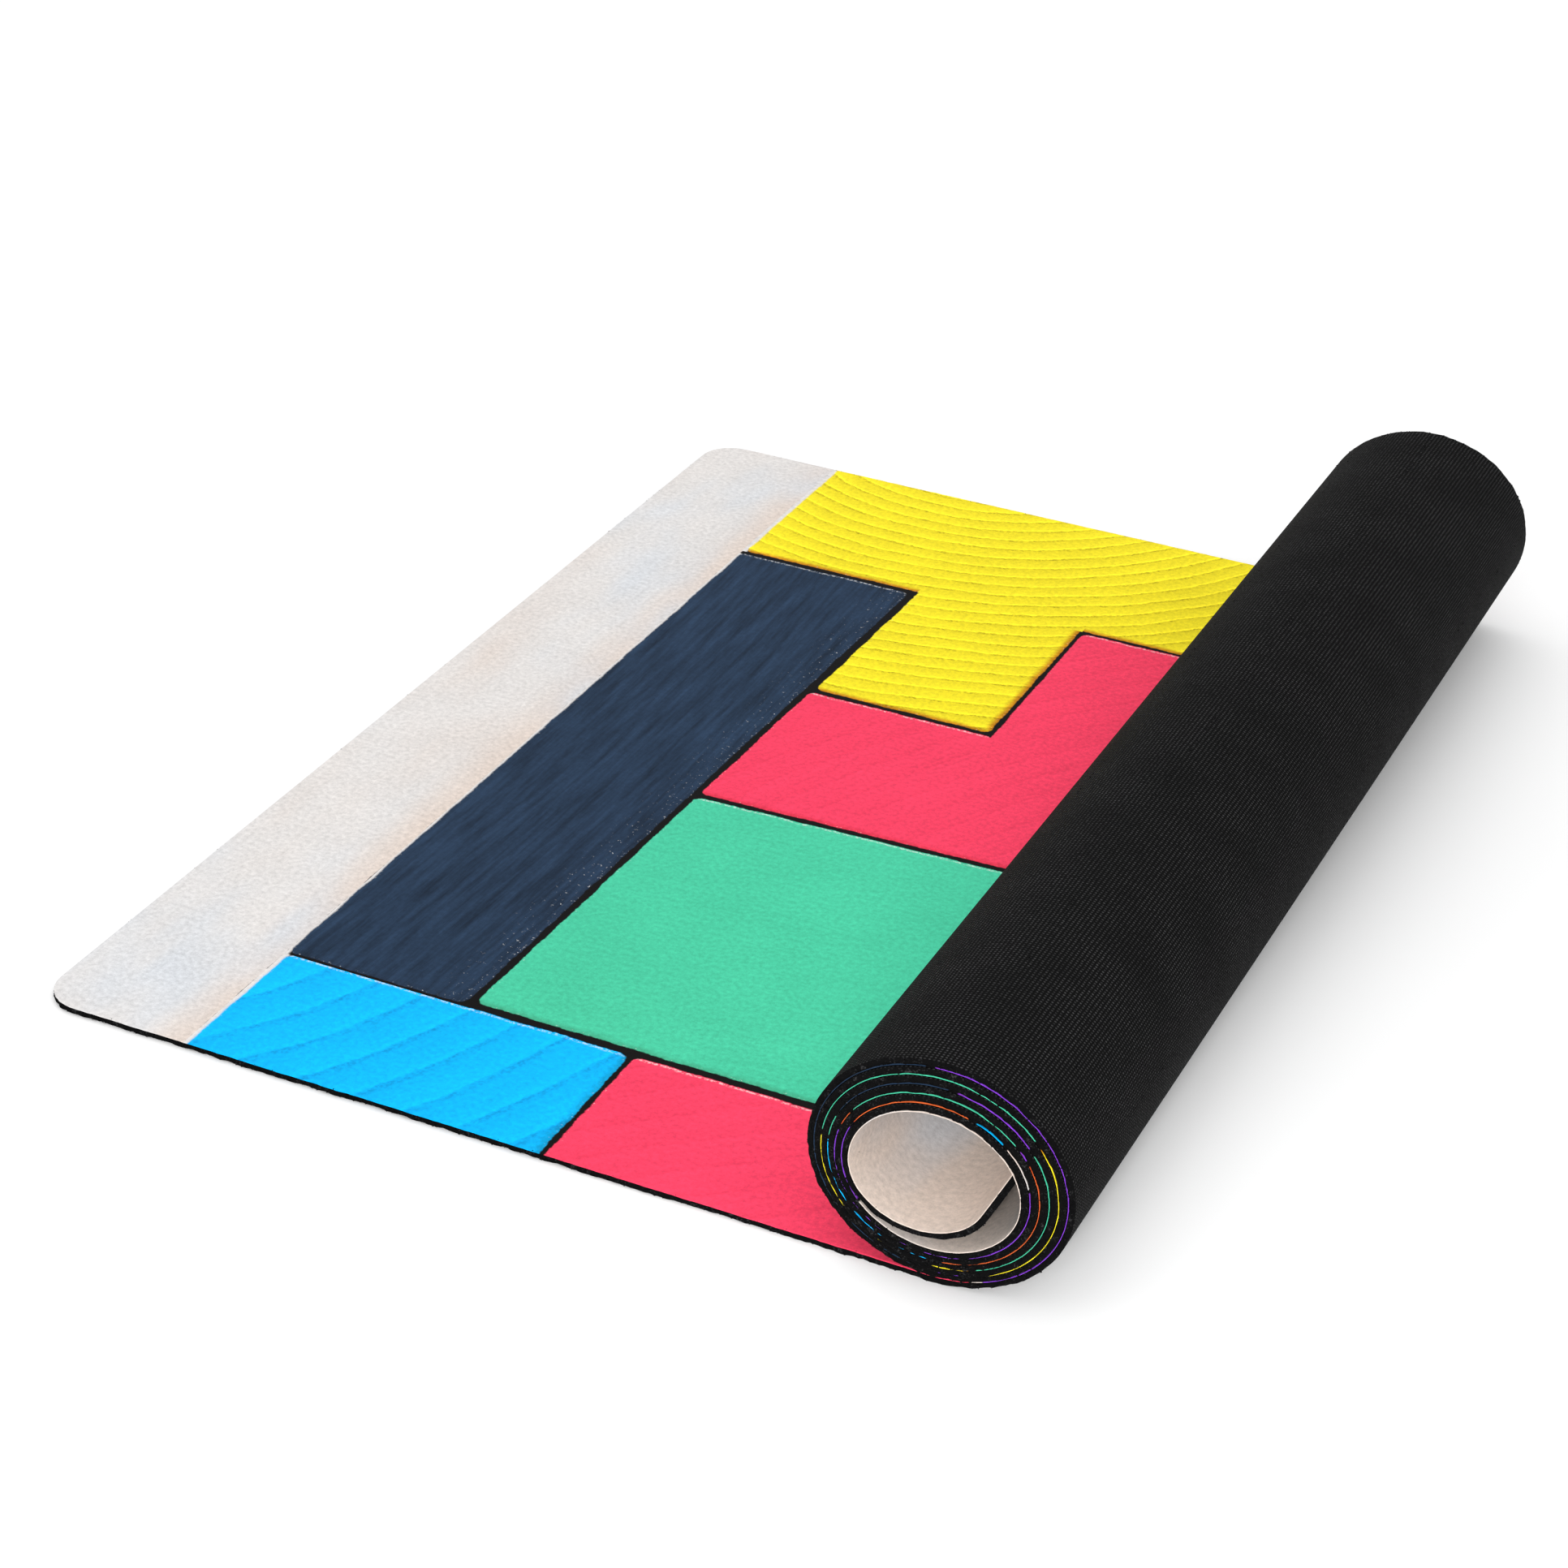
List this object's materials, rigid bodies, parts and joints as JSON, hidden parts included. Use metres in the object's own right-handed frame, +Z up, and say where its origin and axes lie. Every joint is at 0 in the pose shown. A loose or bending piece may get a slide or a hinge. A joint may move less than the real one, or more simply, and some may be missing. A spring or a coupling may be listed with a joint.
{
  "type": "roll-up floor mat",
  "caption": "Part-rolled floor mat with a printed fabric face on a black rubber base; the roll opens onto the floor through a chain of coupled folds.",
  "frame": {"origin": "on the floor under the middle of the mat's box as it lies part rolled", "axes": "+X along the mat's length towards the roll, +Y across its width along the roll's axis, +Z up"},
  "size_m": [0.4276, 0.619, 0.0983],
  "materials": {
    "rubber_base": "matt black natural rubber, open cut edges, underside embossed with a fine raised weave",
    "face_fabric": "thin suede-like microfibre print in worn colour blocks, soft and matt"
  },
  "bodies": {
    "flat_section": {"flat_rubber": "rubber_base", "flat_fabric": "face_fabric"},
    "strip_01": {"strip_01_rubber": "rubber_base", "strip_01_fabric": "face_fabric"},
    "strip_02": {"strip_02_rubber": "rubber_base", "strip_02_fabric": "face_fabric"},
    "strip_03": {"strip_03_rubber": "rubber_base", "strip_03_fabric": "face_fabric"},
    "strip_04": {"strip_04_rubber": "rubber_base", "strip_04_fabric": "face_fabric"},
    "strip_05": {"strip_05_rubber": "rubber_base", "strip_05_fabric": "face_fabric"},
    "strip_06": {"strip_06_rubber": "rubber_base", "strip_06_fabric": "face_fabric"},
    "strip_07": {"strip_07_rubber": "rubber_base", "strip_07_fabric": "face_fabric"},
    "strip_08": {"strip_08_rubber": "rubber_base", "strip_08_fabric": "face_fabric"},
    "strip_09": {"strip_09_rubber": "rubber_base", "strip_09_fabric": "face_fabric"},
    "strip_10": {"strip_10_rubber": "rubber_base", "strip_10_fabric": "face_fabric"},
    "strip_11": {"strip_11_rubber": "rubber_base", "strip_11_fabric": "face_fabric"},
    "rolled_part": {"roll_rubber": "rubber_base", "roll_fabric": "face_fabric"}
  },
  "joints": [
    {"name": "unroll", "type": "hinge", "parent": "flat_section", "child": "strip_01", "pos_m": [0.17296, 0, 0], "axis": [0, 1, 0], "range_deg": [0, 20]},
    {"name": "fold_02", "type": "hinge", "parent": "strip_01", "child": "strip_02", "pos_m": [0.19823, 0, 0.0092], "axis": [0, 1, 0], "range_deg": [0, 40]},
    {"name": "fold_03", "type": "hinge", "parent": "strip_02", "child": "strip_03", "pos_m": [0.21624, 0, 0.04039], "axis": [0, 1, 0], "range_deg": [0, 40]},
    {"name": "fold_04", "type": "hinge", "parent": "strip_03", "child": "strip_04", "pos_m": [0.21003, 0, 0.07562], "axis": [0, 1, 0], "range_deg": [0, 40]},
    {"name": "fold_05", "type": "hinge", "parent": "strip_04", "child": "strip_05", "pos_m": [0.18282, 0, 0.09845], "axis": [0, 1, 0], "range_deg": [0, 40]},
    {"name": "fold_06", "type": "hinge", "parent": "strip_05", "child": "strip_06", "pos_m": [0.14755, 0, 0.09845], "axis": [0, 1, 0], "range_deg": [0, 40]},
    {"name": "fold_07", "type": "hinge", "parent": "strip_06", "child": "strip_07", "pos_m": [0.12072, 0, 0.07594], "axis": [0, 1, 0], "range_deg": [0, 40]},
    {"name": "fold_08", "type": "hinge", "parent": "strip_07", "child": "strip_08", "pos_m": [0.11469, 0, 0.0417], "axis": [0, 1, 0], "range_deg": [0, 40]},
    {"name": "fold_09", "type": "hinge", "parent": "strip_08", "child": "strip_09", "pos_m": [0.13195, 0, 0.01181], "axis": [0, 1, 0], "range_deg": [0, 40]},
    {"name": "fold_10", "type": "hinge", "parent": "strip_09", "child": "strip_10", "pos_m": [0.16414, 0, 0.00009], "axis": [0, 1, 0], "range_deg": [0, 40]},
    {"name": "fold_11", "type": "hinge", "parent": "strip_10", "child": "strip_11", "pos_m": [0.19611, 0, 0.01172], "axis": [0, 1, 0], "range_deg": [0, 40]},
    {"name": "fold_roll", "type": "hinge", "parent": "strip_11", "child": "rolled_part", "pos_m": [0.21299, 0, 0.04097], "axis": [0, 1, 0], "range_deg": [0, 40]}
  ],
  "couplings": [
    {"joint": "fold_02", "follows": "unroll", "ratio": 2},
    {"joint": "fold_03", "follows": "unroll", "ratio": 2},
    {"joint": "fold_04", "follows": "unroll", "ratio": 2},
    {"joint": "fold_05", "follows": "unroll", "ratio": 2},
    {"joint": "fold_06", "follows": "unroll", "ratio": 2},
    {"joint": "fold_07", "follows": "unroll", "ratio": 2},
    {"joint": "fold_08", "follows": "unroll", "ratio": 2},
    {"joint": "fold_09", "follows": "unroll", "ratio": 2},
    {"joint": "fold_10", "follows": "unroll", "ratio": 2},
    {"joint": "fold_11", "follows": "unroll", "ratio": 2},
    {"joint": "fold_roll", "follows": "unroll", "ratio": 2}
  ]
}
